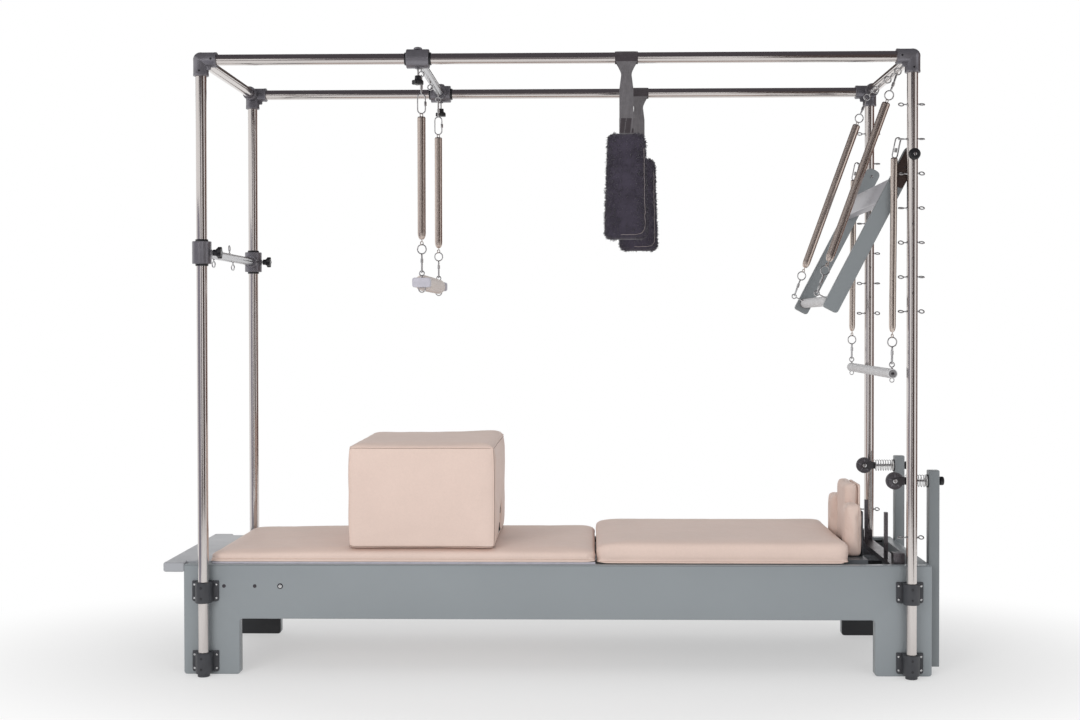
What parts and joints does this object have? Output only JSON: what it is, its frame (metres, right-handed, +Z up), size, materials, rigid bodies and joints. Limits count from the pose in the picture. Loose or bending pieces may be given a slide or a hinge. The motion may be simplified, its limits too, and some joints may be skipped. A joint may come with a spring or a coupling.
{
  "type": "combo pilates reformer",
  "caption": "Pilates reformer bed on slab legs under a steel tower, with carriage, mat, box, push-through bar, roll-down bar, trapeze trolley, fleece loops, swivel pulleys.",
  "frame": {"origin": "middle of the bounding box, on the floor", "axes": "+X along the bed from the foot end to the head end, +Y across to the far side, +Z up"},
  "size_m": [2.7893, 0.8466, 2.2215],
  "materials": {
    "grey_wood": "satin grey paint",
    "push_bar_wood": "satin grey paint",
    "stainless_tube": "polished to satin",
    "spring_steel": "bright",
    "black_fitting": "satin black coat",
    "black_knob": "matte",
    "dark_steel": "satin",
    "upholstery": "matte artificial leather",
    "light_grip": "satin light grey",
    "fleece": "fleece",
    "wheel_plastic": "satin",
    "carriage_wheel": "matte"
  },
  "bodies": {
    "frame": {"side_panel_near": "grey_wood", "side_panel_far": "grey_wood", "head_board": "grey_wood", "foot_board": "grey_wood", "standing_platform": "grey_wood", "track_near": "stainless_tube", "track_far": "stainless_tube", "spring_bar": "stainless_tube", "post_foot_near": "stainless_tube", "post_foot_far": "stainless_tube", "post_head_near": "stainless_tube", "post_head_far": "stainless_tube", "corner_foot_near": "black_fitting", "corner_foot_far": "black_fitting", "corner_head_near": "black_fitting", "corner_head_far": "black_fitting", "top_rail_near": "stainless_tube", "top_rail_far": "stainless_tube", "top_tube_foot": "stainless_tube", "top_tube_head": "stainless_tube", "riser_near": "grey_wood", "riser_far": "grey_wood", "pulley_spring_near": "spring_steel", "pulley_spring_far": "spring_steel", "peg_rail": "dark_steel", "push_spring_near": "spring_steel", "push_spring_far": "spring_steel"},
    "foot_crossbar": {"foot_crossbar": "black_fitting"},
    "trolley": {"trolley": "black_fitting"},
    "trapeze": {"trapeze_spring_near": "spring_steel", "trapeze_spring_far": "spring_steel", "trapeze_handle": "push_bar_wood", "trapeze_pad": "upholstery"},
    "push_bar": {"push_bar_frame": "push_bar_wood", "push_bar_grip": "light_grip"},
    "roll_down_bar": {"roll_spring_near": "spring_steel", "roll_spring_far": "spring_steel", "roll_bar": "light_grip"},
    "carriage": {"carriage_base": "grey_wood", "carriage_mat": "upholstery", "carriage_springs": "spring_steel"},
    "headrest": {"headrest": "upholstery"},
    "mat": {"filler_mat": "upholstery"},
    "box": {"box": "upholstery"},
    "wheel_foot_near": {"wheel_foot_near": "carriage_wheel"},
    "wheel_foot_far": {"wheel_foot_far": "carriage_wheel"},
    "wheel_head_near": {"wheel_head_near": "carriage_wheel"},
    "wheel_head_far": {"wheel_head_far": "carriage_wheel"},
    "shoulder_rest_near": {"shoulder_rest_near": "upholstery"},
    "shoulder_rest_far": {"shoulder_rest_far": "upholstery"},
    "trolley_knob_near": {"trolley_knob_near": "black_knob"},
    "trolley_knob_far": {"trolley_knob_far": "black_knob"},
    "foot_knob_near": {"foot_knob_near": "black_knob"},
    "foot_knob_far": {"foot_knob_far": "black_knob"},
    "loop_near": {"loop_near": "fleece"},
    "loop_far": {"loop_far": "fleece"},
    "pulley_fork_near": {"pulley_fork_near": "dark_steel"},
    "pulley_wheel_near": {"pulley_wheel_near": "wheel_plastic"},
    "pulley_fork_far": {"pulley_fork_far": "dark_steel"},
    "pulley_wheel_far": {"pulley_wheel_far": "wheel_plastic"}
  },
  "joints": [
    {"name": "carriage_slide", "type": "slide", "parent": "frame", "child": "carriage", "axis": [1, 0, 0], "range_m": [-0.6, 0]},
    {"name": "mat_slide", "type": "slide", "parent": "frame", "child": "mat", "axis": [1, 0, 0], "range_m": [-0.6, 0]},
    {"name": "box_lift", "type": "slide", "parent": "mat", "child": "box", "axis": [0, 0, 1], "range_m": [0, 0.4]},
    {"name": "wheel_foot_near_roll", "type": "hinge", "parent": "carriage", "child": "wheel_foot_near", "pos_m": [0.2735, -0.276, 0.355], "axis": [0, 1, 0], "range_deg": [-1400, 0]},
    {"name": "wheel_foot_far_roll", "type": "hinge", "parent": "carriage", "child": "wheel_foot_far", "pos_m": [0.2735, 0.276, 0.355], "axis": [0, 1, 0], "range_deg": [-1400, 0]},
    {"name": "wheel_head_near_roll", "type": "hinge", "parent": "carriage", "child": "wheel_head_near", "pos_m": [1.0095, -0.276, 0.355], "axis": [0, 1, 0], "range_deg": [-1400, 0]},
    {"name": "wheel_head_far_roll", "type": "hinge", "parent": "carriage", "child": "wheel_head_far", "pos_m": [1.0095, 0.276, 0.355], "axis": [0, 1, 0], "range_deg": [-1400, 0]},
    {"name": "headrest_tilt", "type": "hinge", "parent": "carriage", "child": "headrest", "pos_m": [1.1235, 0, 0.409], "axis": [0, 1, 0], "range_deg": [0, 84]},
    {"name": "shoulder_rest_near_lift", "type": "slide", "parent": "carriage", "child": "shoulder_rest_near", "axis": [0, 0, 1], "range_m": [0, 0.25]},
    {"name": "shoulder_rest_far_lift", "type": "slide", "parent": "carriage", "child": "shoulder_rest_far", "axis": [0, 0, 1], "range_m": [0, 0.25]},
    {"name": "trolley_slide", "type": "slide", "parent": "frame", "child": "trolley", "axis": [1, 0, 0], "range_m": [-0.66, 0.62]},
    {"name": "trapeze_swing", "type": "hinge", "parent": "trolley", "child": "trapeze", "pos_m": [-0.4725, 0, 2.1401], "axis": [0, 1, 0], "range_deg": [-30, 30]},
    {"name": "trolley_knob_near_turn", "type": "hinge", "parent": "trolley", "child": "trolley_knob_near", "pos_m": [-0.4725, -0.38, 2.1465], "axis": [0, 0, 1], "continuous": true},
    {"name": "trolley_knob_far_turn", "type": "hinge", "parent": "trolley", "child": "trolley_knob_far", "pos_m": [-0.4725, 0.38, 2.1465], "axis": [0, 0, 1], "continuous": true},
    {"name": "foot_crossbar_slide", "type": "slide", "parent": "frame", "child": "foot_crossbar", "axis": [0, 0, 1], "range_m": [-0.55, 0.5]},
    {"name": "foot_knob_near_turn", "type": "hinge", "parent": "foot_crossbar", "child": "foot_knob_near", "pos_m": [-1.2062, -0.38, 1.501], "axis": [1, 0, 0], "continuous": true},
    {"name": "foot_knob_far_turn", "type": "hinge", "parent": "foot_crossbar", "child": "foot_knob_far", "pos_m": [-1.2062, 0.38, 1.501], "axis": [1, 0, 0], "continuous": true},
    {"name": "push_bar_swing", "type": "hinge", "parent": "frame", "child": "push_bar", "pos_m": [1.25835, 0, 1.836], "axis": [0, 1, 0], "range_deg": [-45, 75], "stiffness_Nm_per_rad": 60, "springref_deg": 1.84, "deforming": ["push_spring_near", "push_spring_far"]},
    {"name": "roll_bar_swing", "type": "hinge", "parent": "frame", "child": "roll_down_bar", "pos_m": [1.21035, 0, 1.8895], "axis": [0, 1, 0], "range_deg": [0, 45]},
    {"name": "loop_near_swing", "type": "hinge", "parent": "frame", "child": "loop_near", "pos_m": [0.26, -0.38, 2.18], "axis": [1, 0, 0], "range_deg": [-70, 25]},
    {"name": "loop_far_swing", "type": "hinge", "parent": "frame", "child": "loop_far", "pos_m": [0.328, 0.38, 2.18], "axis": [1, 0, 0], "range_deg": [-25, 70]},
    {"name": "pulley_swivel_near", "type": "hinge", "parent": "frame", "child": "pulley_fork_near", "pos_m": [1.21965, -0.28, 0.685], "axis": [1, 0, 0], "continuous": true},
    {"name": "pulley_spin_near", "type": "hinge", "parent": "pulley_fork_near", "child": "pulley_wheel_near", "pos_m": [1.21965, -0.28, 0.685], "axis": [0, 1, 0], "continuous": true},
    {"name": "pulley_swivel_far", "type": "hinge", "parent": "frame", "child": "pulley_fork_far", "pos_m": [1.21965, 0.28, 0.685], "axis": [1, 0, 0], "continuous": true},
    {"name": "pulley_spin_far", "type": "hinge", "parent": "pulley_fork_far", "child": "pulley_wheel_far", "pos_m": [1.21965, 0.28, 0.685], "axis": [0, 1, 0], "continuous": true}
  ],
  "couplings": [
    {"joint": "mat_slide", "follows": "carriage_slide", "ratio": 1},
    {"joint": "wheel_foot_near_roll", "follows": "carriage_slide", "rad_per_m": 40.486},
    {"joint": "wheel_foot_far_roll", "follows": "carriage_slide", "rad_per_m": 40.486},
    {"joint": "wheel_head_near_roll", "follows": "carriage_slide", "rad_per_m": 40.486},
    {"joint": "wheel_head_far_roll", "follows": "carriage_slide", "rad_per_m": 40.486}
  ]
}
